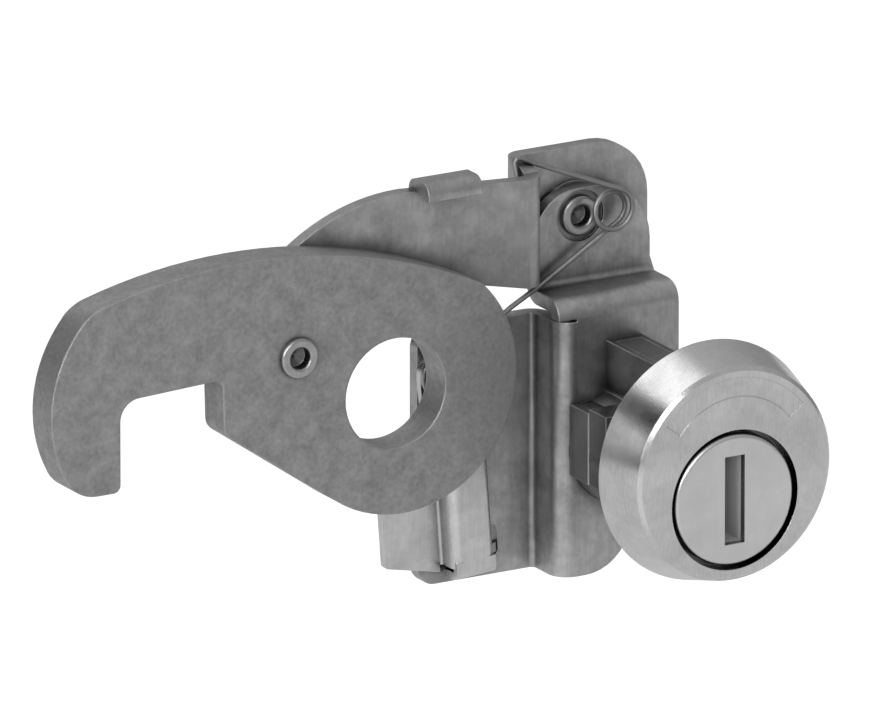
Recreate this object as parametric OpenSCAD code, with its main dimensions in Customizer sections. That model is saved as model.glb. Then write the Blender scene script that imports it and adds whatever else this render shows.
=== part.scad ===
// Parcel locker lock: a pin cylinder in a round head turns a cam behind a stamped bracket, and the cam lets a
// spring-loaded lever with a thick hook rise off its strike.
// Axes: +Z up, +X to the right as seen from the front, the key goes in along +Y.
// Origin: on the axis of the round head, in the plane of its back face.

/* [Head] */
// Diameter of the head at its front rim
head_front_d = 22.3; // [21.6:0.1:22.8]
// Diameter of the head at its back face
head_back_d = 25; // [24.2:0.1:25.4]
// Depth of the head
head_depth = 6; // [5:0.1:9]
// Bevel round the front rim
head_bevel = 0.4; // [0.2:0.1:0.8]
// Depth of the blank arc panel in the face
panel_depth = 0.06; // [0.04:0.01:0.15]

/* [Plug] */
// Drop of the plug's axis below the head's axis
plug_drop = 2.7; // [2.2:0.1:3.2]
// Diameter of the plug's front disc
disc_d = 13.7; // [13:0.1:14]
// Thickness of the plug's front disc
disc_t = 1.8; // [1.2:0.1:2.6]
// Gap all round the front disc
disc_gap = 0.45; // [0.3:0.05:0.55]
// Diameter of the plug behind the disc
plug_d = 10; // [9.6:0.1:10.2]
// Width of the key slot
slot_w = 2.3; // [2.2:0.1:2.8]
// Height of the key slot
slot_h = 9.2; // [8:0.1:9.2]
// Depth of the key slot from the front face
slot_depth = 21.4; // [19:0.1:21.4]
// Diameter of the plug's tail, behind the barrel
tail_d = 8.6; // [8:0.1:9]
// Width across the flats of the tail
tail_flats = 6.8; // [6:0.1:7.4]
// Diameter of the spigot that carries the cam
cam_spigot_d = 6.8; // [6:0.1:7.4]
// Width across the flats of the cam's spigot
cam_spigot_flats = 4.8; // [4.2:0.1:5.4]

/* [Shank] */
// Length of the shank from the head's back to the pad
shank_len = 16; // [15.6:0.1:18]
// Diameter of the barrel
barrel_d = 12.4; // [12:0.1:13]
// Width of the pin chamber block
block_w = 4.2; // [4:0.1:4.8]
// Height of the chamber block's top over the head's axis
block_top = 8.4; // [8.1:0.1:8.8]
// Width of the square shoulder at the pad
shoulder_w = 12.5; // [12.4:0.1:13.4]
// Length of the square shoulder's rear part
shoulder_len = 3.6; // [2.5:0.1:4.5]
// Length of the square shoulder's front part
step_len = 3.4; // [2:0.1:4]
// Height of the rear part's top over the head's axis
shoulder_top = 2.3; // [2:0.1:3]
// How much higher the front part stands
step_rise = 0.45; // [0.2:0.05:0.8]
// Drop of the shoulder's underside below the head's axis
shoulder_low = 5.2; // [4.5:0.1:6]
// Length of the spigot behind the pad
spigot_len = 1; // [0.9:0.1:1.4]

/* [Pins] */
// Diameter of the pins
pin_d = 2.1; // [1.8:0.05:2.2]
// Distance of the first pin behind the head's back
pin_first = 2.2; // [1.8:0.1:2.4]
// Distance of the last pin in front of the pad
pin_last = 2.2; // [1.8:0.1:2.4]
// Length of a driver pin
driver_len = 2.6; // [2.4:0.1:2.8]
// Wire diameter of a pin spring
pin_wire = 0.22; // [0.18:0.01:0.24]
// Turns of a pin spring
pin_turns = 2; // [1.5:0.5:2]
// Thickness of the strip that closes the chambers
strip_t = 0.8; // [0.6:0.1:1]

/* [Bracket] */
// Thickness of the bracket and lever sheet
sheet = 1.5; // [1.2:0.1:1.6]
// Inside radius of every bend
bend_r = 0.6; // [0.4:0.1:0.8]
// How far the pad stands in front of the base plane
joggle = 5.1; // [4.9:0.1:5.6]
// Left edge of the bracket
plate_left = -21; // [-22.5:0.1:-20.6]
// Bottom edge of the bracket
plate_low = -16; // [-18:0.1:-15.8]
// Top edge of the bracket's left plate
plate_top = 10.8; // [10.6:0.1:11]
// Outer face of the upright wall of the joggle
wall_x = -7.5; // [-7.8:0.1:-7.4]
// Top of the shelf above the pad
shelf_z = 13.2; // [12.9:0.1:13.4]
// Top of the ear
ear_top = 23; // [22.8:0.1:23.4]
// Right edge of the pad
pad_right = 6.4; // [6.2:0.1:6.6]
// Right edge of the ear
ear_right = 6; // [5.8:0.1:6.2]
// Radius of the pad's lower right corner
lobe_r = 5.2; // [3:0.1:5.4]
// Right edge of the pad's lower lobe
lobe_right = 0.8; // [0:0.1:2]
// Radius of sheet round the cylinder's hole
boss_r = 8.6; // [8:0.1:9.4]

/* [Lever] */
// Pivot, left or right of the head's axis
pivot_x = -2.1; // [-2.4:0.1:-1.8]
// Pivot, height over the head's axis
pivot_z = 20.1; // [19.9:0.1:20.4]
// Gap between the bracket's ear and the lever's ear
ear_gap = 0.3; // [0.3:0.05:0.6]
// Depth from the front plate to the lever's ear, face to face
lever_step = 5.4; // [5.2:0.1:5.8]
// Right face of the web
web_x = -8; // [-8.4:0.1:-7.9]
// Bottom of the web
web_low = 14.6; // [14.4:0.1:15.2]
// Top of the front plate at the web
front_top = 26; // [25.4:0.1:26.4]
// Top of the lever's ear
rear_top = 26.9; // [26.7:0.1:28]
// Radius of the front plate's curved left edge
crown_r = 22; // [21.5:0.1:23]
// Width of the bent tab
tab_w = 6.2; // [4:0.1:8]
// Left edge of the bent tab
tab_left = -23.2; // [-24:0.1:-22]
// Thickness of the tab's sheet
tab_t = 1.2; // [0.8:0.1:1.3]
// Reach of the tab in front of the plate's rear face
tab_reach = 4.1; // [3.6:0.1:5]
// Height of the tab's top over the head's axis
tab_top = 28.1; // [27.8:0.1:29.5]
// Travel of the lever, in degrees
lever_travel = 14; // [10:0.5:14]

/* [Hook] */
// Thickness of the hook
hook_t = 3.9; // [3:0.1:4.6]
// Diameter of the hook's large hole
hole_d = 11.5; // [9:0.1:13]
// Radius of the hook's round end
round_end_r = 13.2; // [12.6:0.05:13.5]
// Radius of the hook's long top curve
top_r = 60.7; // [58:0.1:64]
// Radius of the hook's left side
nose_r = 14; // [13:0.5:16]
// Left end of the hook
hook_left = -67.2; // [-69:0.05:-66]
// Height of the notch's roof
notch_top = 11.8; // [10.5:0.1:12.4]
// Width of the notch
notch_w = 11.9; // [10:0.1:12.5]
// Width of the nose's tip
tip_w = 7.85; // [6.5:0.05:9]
// Height of the nose's tip
tip_low = 2.1; // [0:0.1:3]

/* [Rivets] */
// Diameter of the rivets' bodies
rivet_d = 3; // [2.6:0.1:3.2]
// Diameter of the rivets' flanges
flange_d = 4.2; // [3.8:0.1:4.4]
// Thickness of the rivets' flanges
flange_t = 0.6; // [0.4:0.1:0.8]
// Diameter of the hole in the rivets' ends
rivet_hole_d = 2.2; // [1.4:0.1:2.2]
// Diameter of the guide rivet's ring
guide_ring_d = 5.4; // [5:0.1:5.6]

/* [Spring] */
// Wire diameter of the lever's spring
wire_d = 0.55; // [0.5:0.05:0.6]
// Mean radius of the coil
coil_r = 1.9; // [1.8:0.05:2]
// Advance of one turn
coil_pitch = 1.1; // [1.05:0.05:1.1]

/* [Guide clip] */
// Thickness of the clip's sheet
clip_sheet = 0.8; // [0.6:0.1:0.9]
// Inside radius of the clip's bends
clip_bend_r = 0.3; // [0.2:0.05:0.4]
// Lean of the clip, in degrees
clip_lean = 4.2; // [3:0.2:5]
// Reach of the clip's flange, left of its rivet
clip_flange = 8.2; // [7.6:0.1:8.8]
// Outer face of the clip's left wall, left of its rivet
clip_left = 1.6; // [1.4:0.1:1.8]
// Outer face of the clip's right wall, right of its rivet
clip_right = 3.2; // [3:0.1:3.4]
// Reach of the clip's foot, right of the channel
foot_reach = 2; // [1.9:0.1:2.1]
// Depth of the clip's channel, outside
clip_depth = 3.5; // [3:0.1:3.5]
// Drop of the clip's floor below its rivet
clip_low = 21.2; // [20.9:0.1:21.5]
// Drop of the clip's channel top below its rivet
clip_high = 7; // [6:0.1:8]

/* [Cam] */
// Thickness of the cam
cam_t = 1.4; // [1.2:0.1:1.4]
// Radius of the cam's hub
hub_r = 4.5; // [4.2:0.1:4.6]
// Radius of the lever's nose that runs on the cam
nose_tip_r = 1.6; // [1.2:0.1:1.8]
// Place of the lever's nose, right of the head's axis
nose_x = 12; // [11.6:0.1:12.2]

/* [Clearances] */
// Radial clearance of a running fit
run_gap = 0.04; // [0.02:0.01:0.06]
// Radial clearance of a pin in its chamber
pin_gap = 0.1; // [0.05:0.01:0.12]
// Clearance between the cam and the lever's nose
cam_gap = 0.15; // [0.1:0.05:0.3]
// Clearance of a pressed fit
seat_gap = 0.01; // [0.005:0.005:0.02]

/* [Hidden] */
$fn = 64;

// Finishes
ZINC = [0.62, 0.62, 0.63];
BRIGHT = [0.78, 0.78, 0.79];
DULL = [0.5, 0.5, 0.51];
BRASS = [0.75, 0.62, 0.32];
STEEL = [0.56, 0.56, 0.58];

// Planes along the key's axis
pad_y = shank_len;
base_y = pad_y + joggle;
lever_ear_y = base_y + sheet + ear_gap;
front_y = lever_ear_y - lever_step;
hook_y = front_y - hook_t;
spigot_end = pad_y + sheet + spigot_len;
outer_r = bend_r + sheet;
web_run = 1.7;

// Plug and barrel
plug_z = -plug_drop;
plug_r = plug_d / 2;
bore_r = plug_r + run_gap;
barrel_r = barrel_d / 2;
pin_r = pin_d / 2;
chamber_r = pin_r + pin_gap;
pin_count = 5;
pin_pitch = (shank_len - pin_first - pin_last) / (pin_count - 1);
pin_lengths = [3.2, 4.1, 3.6, 4.5, 3.8];
shear_z = plug_z + bore_r;
spring_low = shear_z + run_gap + driver_len;
strip_z = block_top - strip_t;

// Ring and plate behind the pad
ring_t = 0.8;
ring_depth = 0.5;
clip_mouth = 10.6;
stop_y = spigot_end + 0.2;
stop_t = 1;
stop_r = barrel_r - 0.05;
post_in = bore_r + 0.15;
post_half = 14;
e_clip_y = stop_y + stop_t + 0.05;
e_clip_t = 0.6;
e_clip_groove_r = 3;
cam_y = lever_ear_y + 0.05;
cam_end = cam_y + cam_t;
screw_r = 1.25;
screw_head_r = 2.9;
screw_head_t = 1.5;
screw_len = 5.5;
lock_washer_t = 0.5;
plug_turn = 90;

// Recess in the ear round its rivet
rivet_seat = 0.35;
rivet_seat_r = flange_d / 2 + 0.6;

// Hook, from the fitted curves of its edge
hole_at = [-27.8, 7.5];
round_at = [-27, 8];
top_at = [-44.86, 23.8 - top_r];
hook_rise = 35;
hook_rivet_at = [-39, 13];
guide_rivet_at = [-18.4, 6.2];
crown_at = [-24.6, front_top + 0.9 - crown_r];
shoulder_x = hook_left + tip_w + notch_w;
nose_at = [hook_left + nose_r, 10.8];
crest_r = 5;
crest_at = circles_meet(top_at, top_r - crest_r, nose_at, nose_r - crest_r);
tip_r = 4;
tip_at = let (dz = nose_at[1] - tip_low - tip_r, reach = nose_r - tip_r)
    [nose_at[0] - sqrt(max(0, reach * reach - dz * dz)), tip_low + tip_r];

// Plain helpers

// Rounds the corners of a polygon whose points are [x, y, radius].
function rounded(p, step = 10) = [
    for (i = [0 : len(p) - 1])
        let (a = p[(i + len(p) - 1) % len(p)], b = p[i], c = p[(i + 1) % len(p)], r = b[2])
        each r == 0 ? [[b[0], b[1]]] : corner([a[0], a[1]], [b[0], b[1]], [c[0], c[1]], r, step)
];

// The arc of radius r that rounds the corner at b between a and c.
function corner(a, b, c, r, step) =
    let (
        u = (a - b) / norm(a - b),
        v = (c - b) / norm(c - b),
        half = acos(max(-1, min(1, u * v))) / 2,
        reach = r / tan(half),
        centre = b + (u + v) / norm(u + v) * r / sin(half),
        from = b + u * reach - centre,
        to = b + v * reach - centre,
        a0 = atan2(from[1], from[0]),
        raw = atan2(to[1], to[0]) - a0,
        sweep = raw > 180 ? raw - 360 : raw < -180 ? raw + 360 : raw,
        n = max(2, ceil(abs(sweep) / step))
    )
    [for (k = [0 : n]) centre + r * [cos(a0 + sweep * k / n), sin(a0 + sweep * k / n)]];

// Turns a point by a right-hand angle about +Y, seen as [x, z].
function turned(p, a) = [p[0] * cos(a) + p[1] * sin(a), -p[0] * sin(a) + p[1] * cos(a)];

// Where two circles meet, on the left of the way from the first centre to the second.
function circles_meet(a, ra, b, rb) =
    let (
        d = norm(b - a),
        u = (b - a) / d,
        along = (ra * ra - rb * rb + d * d) / (2 * d),
        aside = sqrt(max(0, ra * ra - along * along))
    )
    a + u * along + [u[1], -u[0]] * aside * -1;

// A plate drawn in X and Z, from y to y + t.
module plate(y, t) {
    translate([0, y + t, 0])
        rotate([90, 0, 0])
            linear_extrude(t)
                children();
}

// A round bar along Y.
module rod(r, y0, y1, at = [0, 0]) {
    translate([at[0], y0, at[1]])
        rotate([-90, 0, 0])
            cylinder(r = r, h = y1 - y0);
}

// A cone along Y, from radius r0 to r1.
module taper(r0, r1, y0, y1, at = [0, 0]) {
    translate([at[0], y0, at[1]])
        rotate([-90, 0, 0])
            cylinder(r1 = r0, r2 = r1, h = y1 - y0);
}

// A box between two corners.
module block(low, high) {
    translate(low)
        cube(high - low);
}

// A quarter of a bend in the sheet: centre, and the signs of the quadrant that it fills.
module bend(centre, quadrant, inner = bend_r, outer = outer_r) {
    translate(centre)
        intersection() {
            difference() {
                circle(outer);
                circle(inner);
            }
            scale([quadrant[0], quadrant[1]])
                square(outer + 1);
        }
}

// A bar with two flats, along Y, round the plug's axis.
module flatted(d, flats, y0, y1) {
    intersection() {
        rod(d / 2, y0, y1, [0, plug_z]);
        block([-d, y0 - 1, plug_z - flats / 2], [d, y1 + 1, plug_z + flats / 2]);
    }
}

// A tube of six sides along a path, with rings square to it. The reference is never along the path.
module tube(path, r, reference) {
    sides = 6;
    last = len(path) - 1;
    rings = [
        for (i = [0 : last])
            let (
                t = path[min(i + 1, last)] - path[max(i - 1, 0)],
                u = cross(t, reference) / norm(cross(t, reference)),
                v = cross(u, t) / norm(t)
            )
            for (k = [0 : sides - 1]) path[i] + r * (u * cos(60 * k) + v * sin(60 * k))
    ];
    walls = [
        for (i = [0 : last - 1], k = [0 : sides - 1])
            let (a = i * sides + k, b = i * sides + (k + 1) % sides)
            each [[a, b, b + sides], [a, b + sides, a + sides]]
    ];
    caps = [
        for (k = [1 : sides - 2])
            each [[0, k + 1, k], [last * sides, last * sides + k, last * sides + k + 1]]
    ];
    polyhedron(rings, concat(walls, caps));
}

// Least gap between stretches of a tube that lie more than skip points apart.
function least_gap(path, d, skip) =
    min([
        for (i = [0 : len(path) - 1 - skip], j = [i + skip : len(path) - 1])
            norm(path[i] - path[j])
    ]) - d;

// Cylinder

// Profile of the head, from the front rim to the back face.
module head() {
    rotate([-90, 0, 0])
        rotate_extrude()
            polygon([
                [0, -head_depth],
                [head_front_d / 2 - head_bevel, -head_depth],
                [head_front_d / 2, head_bevel * 0.8 - head_depth],
                [head_back_d / 2, -0.4],
                [head_back_d / 2 - 0.3, 0],
                [0, 0]
            ]);
}

// Blank arc panel over the disc.
module face_panel() {
    inner = 8.05;
    outer = 10.05;
    half = 52;
    plate(-head_depth - 1, 1 + panel_depth)
        intersection() {
            difference() {
                circle(outer);
                circle(inner);
            }
            polygon([[0, 0], 20 * [-sin(half), cos(half)], [0, 28], 20 * [sin(half), cos(half)]]);
        }
}

// Block over the barrel that holds the pins, with a fillet at its foot.
module chamber_block() {
    fillet = 0.7;
    foot = shoulder_top + step_rise;
    block([-block_w / 2, 0, plug_z], [block_w / 2, shank_len, block_top]);
    for (side = [-1, 1])
        difference() {
            block(
                [side * (block_w / 2 + fillet / 2) - fillet / 2, shank_len - shoulder_len - step_len, foot - 0.2],
                [side * (block_w / 2 + fillet / 2) + fillet / 2, shank_len, foot + fillet]
            );
            rod(fillet, 0, shank_len + 1, [side * (block_w / 2 + fillet), foot + fillet]);
        }
}

// Square shoulder that meets the pad.
module shoulder() {
    half = shoulder_w / 2;
    rear = shank_len - shoulder_len;
    block([-half, rear, -shoulder_low], [half, shank_len, shoulder_top]);
    block([-half + 0.1, rear - step_len, -shoulder_low], [half - 0.1, rear, shoulder_top + step_rise]);
}

module cylinder_body() {
    color(BRIGHT)
        difference() {
            union() {
                head();
                rod(barrel_r, -0.5, spigot_end, [0, plug_z]);
                chamber_block();
                shoulder();
                stop_post();
            }
            face_panel();
            rod(disc_d / 2 + disc_gap, -head_depth - 1, disc_t + 0.1 - head_depth, [0, plug_z]);
            rod(bore_r, -head_depth - 1, spigot_end + 3, [0, plug_z]);
            for (i = [0 : pin_count - 1])
                translate([0, pin_first + pin_pitch * i, 0])
                    cylinder(r = chamber_r, h = block_top + 1);
            block([-chamber_r - 0.3, 1, strip_z], [chamber_r + 0.3, shank_len - 1, block_top + 1]);
            difference() {
                rod(barrel_r + 1, pad_y + sheet, pad_y + sheet + ring_t, [0, plug_z]);
                rod(barrel_r - ring_depth, pad_y, spigot_end, [0, plug_z]);
            }
        }
}

// Post at the barrel's end that stops the plug after a quarter turn.
module stop_post() {
    reach = barrel_r + 1;
    plate(spigot_end - 0.5, stop_t + 0.7)
        translate([0, plug_z])
            intersection() {
                difference() {
                    circle(barrel_r - 0.1);
                    circle(post_in);
                }
                polygon([[0, 0], reach * [-sin(post_half), -cos(post_half)], reach * [sin(post_half), -cos(post_half)]]);
            }
}

module chamber_strip() {
    color(BRASS)
        block(
            [-chamber_r - 0.3 + seat_gap, 1 + seat_gap, strip_z],
            [chamber_r + 0.3 - seat_gap, shank_len - 1 - seat_gap, block_top]
        );
}

module driver_pins() {
    color(BRASS)
        for (i = [0 : pin_count - 1])
            translate([0, pin_first + pin_pitch * i, shear_z + run_gap])
                cylinder(r = pin_r, h = driver_len, $fn = 32);
}

// Wound form of one pin spring, straight at both ends for a wire's width.
function pin_spring_path() =
    let (
        r = pin_r - pin_wire,
        low = spring_low + pin_wire,
        high = strip_z - pin_wire,
        n = 8 * pin_turns
    )
    concat(
        [[r, 0, spring_low + 0.01], [r, 0, low]],
        [for (k = [1 : n - 1]) [r * cos(45 * k), r * sin(45 * k), low + (high - low) * k / n]],
        [[r, 0, high], [r, 0, strip_z - 0.01]]
    );

module pin_springs() {
    color(STEEL)
        for (i = [0 : pin_count - 1])
            translate([0, pin_first + pin_pitch * i, 0])
                tube(pin_spring_path(), pin_wire / 2, [0.05, 0.02, 1]);
}

// Open ring in the groove behind the pad; its opening gives room to the bracket's upright wall.
module cylinder_clip() {
    inner = barrel_r - ring_depth + seat_gap;
    color(STEEL)
        plate(pad_y + sheet + seat_gap, ring_t - 2 * seat_gap)
            translate([0, plug_z])
                difference() {
                    circle(barrel_r + 0.9);
                    circle(inner);
                    translate([-barrel_r, 0])
                        square([barrel_r * 2, clip_mouth], center = true);
                }
}

// Bracket

// The left plate, the upright joggle and the pad, as a section in X and Y.
module upright_section() {
    translate([plate_left, base_y])
        square([wall_x - bend_r - plate_left, sheet]);
    bend([wall_x - bend_r, base_y - bend_r], [1, 1]);
    translate([wall_x, pad_y + outer_r])
        square([sheet, joggle - outer_r - bend_r]);
    bend([wall_x + outer_r, pad_y + outer_r], [-1, -1]);
    translate([wall_x + outer_r, pad_y])
        square([boss_r - wall_x - outer_r + 1, sheet]);
}

// The ear, the shelf and the top of the pad, as a section in Y and Z.
module shelf_section() {
    translate([base_y, shelf_z + bend_r])
        square([sheet, ear_top - shelf_z - bend_r]);
    bend([base_y - bend_r, shelf_z + bend_r], [1, -1]);
    translate([pad_y + outer_r, shelf_z - sheet])
        square([joggle - outer_r - bend_r, sheet]);
    bend([pad_y + outer_r, shelf_z - outer_r], [-1, 1]);
}

// Outline of the lower part, in X and Z.
module lower_outline() {
    top = shelf_z - outer_r;
    polygon(rounded([
        [wall_x + outer_r, top, 0],
        [wall_x + outer_r, plate_top, 0],
        [plate_left, plate_top, 2],
        [plate_left, plate_low, 2],
        [wall_x + 2, plate_low, 0],
        [lobe_right, plate_low, lobe_r],
        [lobe_right, plug_z, 0],
        [pad_right, plug_z, 0],
        [pad_right, top, 0]
    ]));
    translate([0, plug_z])
        circle(boss_r);
}

// Outline of the ear, in X and Z.
module ear_outline() {
    polygon(rounded([
        [wall_x, shelf_z - outer_r, 0],
        [pad_right, shelf_z - outer_r, 0],
        [pad_right, shelf_z - 0.5, 1.5],
        [ear_right, shelf_z + 1.2, 1.5],
        [ear_right, ear_top, 6.4],
        [wall_x, ear_top, 5]
    ]));
}

module bracket() {
    top = shelf_z - outer_r;
    color(ZINC)
        difference() {
            union() {
                intersection() {
                    translate([0, 0, plate_low - 1])
                        linear_extrude(top - plate_low + 1)
                            upright_section();
                    plate(pad_y - 1, joggle + sheet + 2)
                        lower_outline();
                }
                intersection() {
                    translate([wall_x, 0, 0])
                        rotate([90, 0, 90])
                            linear_extrude(pad_right - wall_x)
                                shelf_section();
                    plate(pad_y - 1, joggle + sheet + 2)
                        ear_outline();
                }
            }
            rod(barrel_r + seat_gap, pad_y - 1, base_y, [0, plug_z]);
            rod(rivet_d / 2 + seat_gap, base_y - 1, base_y + sheet + 1, [pivot_x, pivot_z]);
            rod(rivet_d / 2 + seat_gap, base_y - 1, base_y + sheet + 1, guide_rivet_at);
            foot_window();
            rod(rivet_seat_r, base_y - 1, base_y + rivet_seat, [pivot_x, pivot_z]);
        }
}

// Window for the clip's foot.
module foot_window() {
    clip_frame()
        plate(base_y - 1, sheet + 2)
            polygon(rounded([
                [clip_right - clip_sheet - 0.2, 0.6 - clip_low, 0.3],
                [clip_right + foot_reach + 0.1, 0.6 - clip_low, 0.5],
                [clip_right + foot_reach + 0.1, 3.8 - clip_low, 0.5],
                [clip_right - clip_sheet - 0.2, 3.8 - clip_low, 0.3]
            ]));
}

// A semi-tubular rivet: a rolled rim in front, a body through the stack, and an upset head behind.
module rivet(at, y0, y1, head_r) {
    hole = rivet_hole_d / 2;
    roll = 0.3;
    turn(at)
        polygon(rounded([
            [0, y0 + 1.1, 0],
            [hole, y0 + 0.6, 0],
            [hole, y0 - flange_t, roll],
            [flange_d / 2, y0 - flange_t, roll],
            [flange_d / 2, y0, 0],
            [rivet_d / 2, y0, 0],
            [rivet_d / 2, y1, 0],
            [head_r, y1, 0],
            [head_r, y1 + 0.9, 0.6],
            [0, y1 + 0.9, 0]
        ], 15));
}

// A solid of revolution along Y; its profile is in radius and depth.
module turn(at) {
    translate([at[0], 0, at[1]])
        rotate([-90, 0, 0])
            rotate_extrude()
                children();
}

module ear_rivet() {
    color(BRIGHT)
        rivet([pivot_x, pivot_z], base_y + rivet_seat, lever_ear_y + sheet + 0.1, flange_d / 2 + 0.3);
}

module ear_washer() {
    color(BRIGHT)
        difference() {
            rod(flange_d / 2 + 1.2, base_y + sheet, lever_ear_y - 0.02, [pivot_x, pivot_z]);
            rod(rivet_d / 2 + 0.1, base_y, lever_ear_y + 1, [pivot_x, pivot_z]);
        }
}

// Dome in a raised ring, seen through the hook's hole.
module guide_rivet() {
    y0 = base_y - clip_sheet;
    ring = guide_ring_d / 2;
    dome = ring - 0.85;
    color(BRIGHT)
        turn(guide_rivet_at)
            polygon(rounded([
                [0, y0 - 0.9, 0],
                [dome * 0.6, y0 - 0.85, 0.8],
                [dome, y0 - 0.5, 0.3],
                [dome, y0 - 0.15, 0],
                [dome + 0.15, y0 - 0.15, 0],
                [dome + 0.25, y0 - 0.55, 0.15],
                [ring, y0 - 0.55, 0.25],
                [ring, y0, 0],
                [rivet_d / 2, y0, 0],
                [rivet_d / 2, base_y + sheet, 0],
                [flange_d / 2, base_y + sheet, 0],
                [flange_d / 2, base_y + sheet + 0.6, 0.4],
                [0, base_y + sheet + 0.6, 0]
            ], 15));
}

// Guide clip: a flange on the left plate, a channel that stands forward beside it, and a folded floor.
module guide_clip() {
    color(BRIGHT)
        difference() {
            clip_frame()
                union() {
                    clip_flange();
                    clip_channel();
                    clip_floor();
                }
            rod(rivet_d / 2 + seat_gap, front_y, base_y + 1, guide_rivet_at);
        }
}

// The clip's own frame: its rivet at x = 0, z = 0, leaning.
module clip_frame() {
    translate([guide_rivet_at[0], 0, guide_rivet_at[1]])
        rotate([0, -clip_lean, 0])
            children();
}

clip_outer = clip_bend_r + clip_sheet;
clip_front = base_y - clip_depth;

// Flange against the left plate, with the tongue up to its rivet.
module clip_flange() {
    edge = -clip_left - clip_bend_r;
    plate(base_y - clip_sheet, clip_sheet) {
        polygon(rounded([
            [-clip_flange, 2.3 - clip_low, 0.5],
            [edge, 0.5 - clip_low, 0],
            [edge, -clip_high - 0.5, 0],
            [guide_ring_d / 2, -clip_high + 0.5, 1],
            [guide_ring_d / 2, 0, 0],
            [-guide_ring_d / 2, 0, 0],
            [-guide_ring_d / 2, -4, 2],
            [-clip_flange, -9, 2]
        ]));
        circle(guide_ring_d / 2);
    }
}

// Left wall, front and right wall, with the foot that passes through the bracket's window.
module clip_channel() {
    left = -clip_left;
    right = clip_right;
    side = base_y - clip_sheet;
    wall_low = 1.3 - clip_low;
    translate([0, 0, wall_low])
        linear_extrude(-clip_high - wall_low) {
            bend([left - clip_bend_r, side - clip_bend_r], [1, 1], clip_bend_r, clip_outer);
            translate([left, clip_front + clip_outer])
                square([clip_sheet, clip_depth - clip_outer - clip_outer]);
            bend([left + clip_outer, clip_front + clip_outer], [-1, -1], clip_bend_r, clip_outer);
        }
    translate([0, 0, clip_outer - clip_low])
        linear_extrude(clip_low - clip_high - clip_outer)
            translate([left + clip_outer, clip_front])
                square([right - left - 2 * clip_outer, clip_sheet]);
    translate([0, 0, 1.3 - clip_low])
        linear_extrude(clip_low - clip_high - 1.3) {
            bend([right - clip_outer, clip_front + clip_outer], [1, -1], clip_bend_r, clip_outer);
            translate([right - clip_sheet, clip_front + clip_outer])
                square([clip_sheet, clip_depth - clip_outer - 0.7]);
        }
    clip_foot(side);
}

// Foot of the right wall, bent out to the far edge of the bracket's window.
module clip_foot(side) {
    tip = clip_right + foot_reach;
    translate([0, 0, 0.85 - clip_low])
        linear_extrude(1)
            polygon([
                [clip_right - clip_sheet, side - 0.5],
                [clip_right, side - 0.5],
                [clip_right, side],
                [tip, base_y + 0.1],
                [tip, base_y + 0.1 + clip_sheet],
                [clip_right - clip_sheet, side + clip_sheet + 0.2]
            ]);
}

// Floor folded back from the front's lower edge.
module clip_floor() {
    left = 0.2 - clip_left;
    width = clip_right - 0.1 - left;
    block(
        [left, clip_front, clip_outer - clip_low],
        [left + width, clip_front + clip_sheet, 2 - clip_low]
    );
    translate([left, 0, 0])
        rotate([90, 0, 90])
            linear_extrude(width) {
                bend(
                    [clip_front + clip_outer, clip_outer - clip_low],
                    [-1, -1],
                    clip_bend_r,
                    clip_outer
                );
                translate([clip_front + clip_outer, -clip_low])
                    square([clip_depth - clip_outer - 0.7, clip_sheet]);
            }
}

// Plug and what turns with it

module plug() {
    rear = cam_y;
    color(BRIGHT)
        difference() {
            union() {
                translate([0, 0, plug_z])
                    rotate([-90, 0, 0])
                        rotate_extrude()
                            disc_profile();
                rod(plug_r, disc_t - head_depth - 0.5, spigot_end + 0.1, [0, plug_z]);
                flatted(tail_d, tail_flats, spigot_end, rear);
                flatted(cam_spigot_d, cam_spigot_flats, rear - 0.5, cam_end - 0.1);
            }
            block(
                [-slot_w / 2, -head_depth - 1, plug_z - slot_h / 2],
                [slot_w / 2, slot_depth - head_depth, plug_z + slot_h / 2]
            );
            for (i = [0 : pin_count - 1])
                translate([0, pin_first + pin_pitch * i, plug_z])
                    cylinder(r = chamber_r, h = plug_r + 1);
            difference() {
                rod(tail_d, e_clip_y, e_clip_y + e_clip_t, [0, plug_z]);
                rod(e_clip_groove_r, e_clip_y - 1, e_clip_y + e_clip_t + 1, [0, plug_z]);
            }
            rod(screw_r, cam_end - screw_len - 0.5, cam_end + 1, [0, plug_z]);
        }
}

// Half section of the front disc, with its rounded edge, as radius and depth.
module disc_profile() {
    edge = 0.5;
    polygon(rounded([
        [0, -head_depth, 0],
        [disc_d / 2, -head_depth, edge],
        [disc_d / 2, disc_t - head_depth, 0],
        [0, disc_t - head_depth, 0]
    ]));
}

// A key pin with its pointed end down, its top just inside the plug's surface.
module key_pin(i) {
    top = plug_z + sqrt(plug_r * plug_r - pin_r * pin_r) - 0.01;
    low = top - pin_lengths[i];
    point = 0.6;
    color(BRASS)
        translate([0, pin_first + pin_pitch * i, 0]) {
            translate([0, 0, low + point])
                cylinder(r = pin_r, h = top - low - point, $fn = 32);
            translate([0, 0, low])
                cylinder(r1 = pin_r - 0.55, r2 = pin_r, h = point, $fn = 32);
        }
}

// Plate with a quarter cut away from its rim, for the post.
module stop_plate() {
    free = plug_turn + 2 * post_half + 2;
    start = -90 - post_half - 1;
    color(STEEL)
        difference() {
            plate(stop_y, stop_t)
                translate([0, plug_z])
                    difference() {
                        circle(stop_r);
                        intersection() {
                            difference() {
                                circle(stop_r + 1);
                                circle(post_in - 0.1);
                            }
                            polygon(concat([[0, 0]], [
                                for (k = [0 : 4]) 12 * [cos(start + free * k / 4), sin(start + free * k / 4)]
                            ]));
                        }
                    }
            flatted(tail_d + 2 * seat_gap, tail_flats + 2 * seat_gap, stop_y - 1, stop_y + stop_t + 1);
        }
}

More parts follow.
